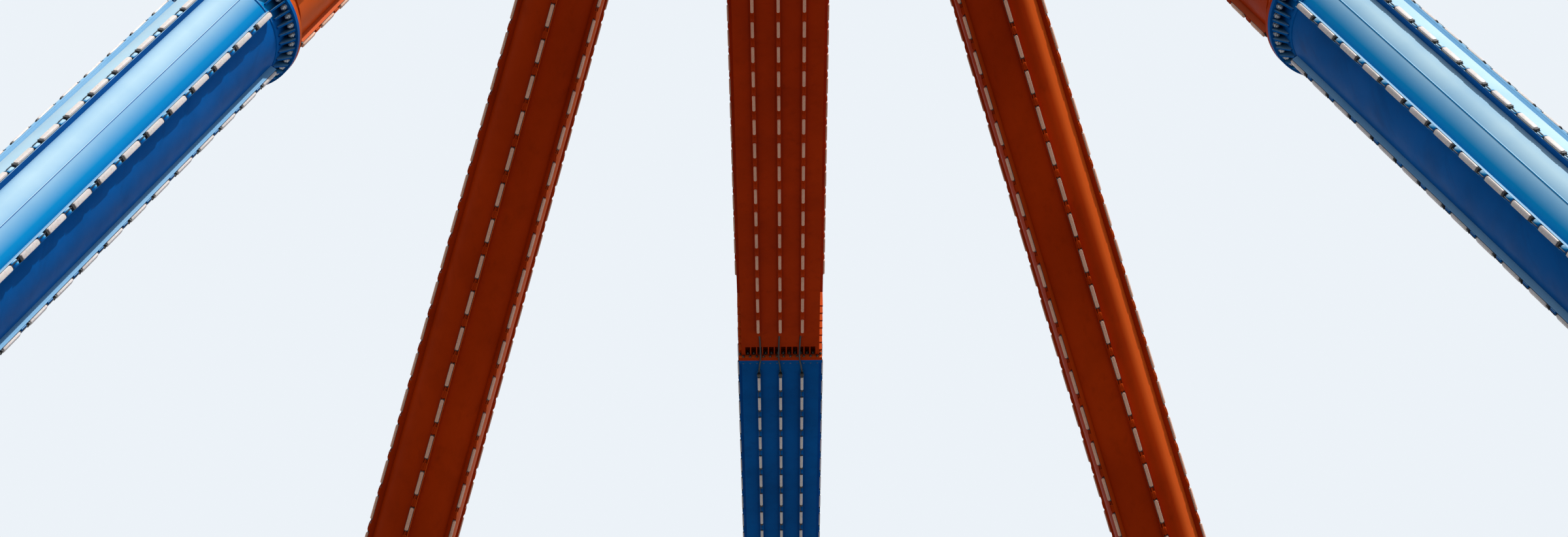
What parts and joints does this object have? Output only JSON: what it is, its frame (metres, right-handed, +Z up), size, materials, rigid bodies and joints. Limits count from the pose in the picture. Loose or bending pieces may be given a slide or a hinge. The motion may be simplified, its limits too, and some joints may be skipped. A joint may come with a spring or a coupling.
{
  "type": "giant pendulum swing ride, 1:2 scale model",
  "caption": "Half-size giant pendulum ride: leaning round legs carry an axle from which a box-section arm with a ring of outward seats swings.",
  "frame": {"origin": "on the ground under the middle of the swing axle, at the centre of the four foot plates", "axes": "+Z up, +Y the rear, to which the arm is swung up, and +X the right side along the axle"},
  "size_m": [13.628, 24.411, 16.726],
  "materials": {
    "orange_paint": "gloss paint, slightly weathered",
    "blue_paint": "gloss paint, slightly weathered",
    "foot_steel": "hot-dip galvanised",
    "machined_steel": "machined and greased",
    "drive_paint": "satin paint",
    "frame_paint": "satin paint",
    "seat_shell": "moulded shell"
  },
  "bodies": {
    "structure": {"foot_front_left": "foot_steel", "foot_front_right": "foot_steel", "foot_rear_left": "foot_steel", "foot_rear_right": "foot_steel", "lower_leg_front_left": "blue_paint", "lower_leg_front_right": "blue_paint", "lower_leg_rear_left": "blue_paint", "lower_leg_rear_right": "blue_paint", "lower_flange_front_left": "blue_paint", "lower_flange_front_right": "blue_paint", "lower_flange_rear_left": "blue_paint", "lower_flange_rear_right": "blue_paint", "upper_flange_front_left": "orange_paint", "upper_flange_front_right": "orange_paint", "upper_flange_rear_left": "orange_paint", "upper_flange_rear_right": "orange_paint", "upper_leg_front_left": "orange_paint", "upper_leg_front_right": "orange_paint", "upper_leg_rear_left": "orange_paint", "upper_leg_rear_right": "orange_paint", "head_left": "orange_paint", "head_right": "orange_paint", "slewing_ring_left": "machined_steel", "slewing_ring_right": "machined_steel", "gear_case_left": "orange_paint", "gear_case_right": "orange_paint", "drive_motors_left": "drive_paint", "drive_motors_right": "drive_paint"},
    "arm": {"arm_hub": "orange_paint", "arm_upper": "orange_paint", "arm_upper_flange": "orange_paint", "arm_lower_flange": "blue_paint", "arm_lower": "blue_paint", "gondola_hub": "orange_paint", "gondola_frame": "frame_paint", "seat_row_1": "seat_shell", "seat_row_2": "seat_shell", "seat_row_3": "seat_shell", "seat_row_4": "seat_shell", "seat_row_5": "seat_shell", "seat_row_6": "seat_shell", "seat_row_7": "seat_shell", "seat_row_8": "seat_shell"}
  },
  "joints": [
    {"name": "swing", "type": "hinge", "parent": "structure", "child": "arm", "pos_m": [0, 0, 16], "axis": [1, 0, 0], "range_deg": [-199.4, 40.6]}
  ]
}
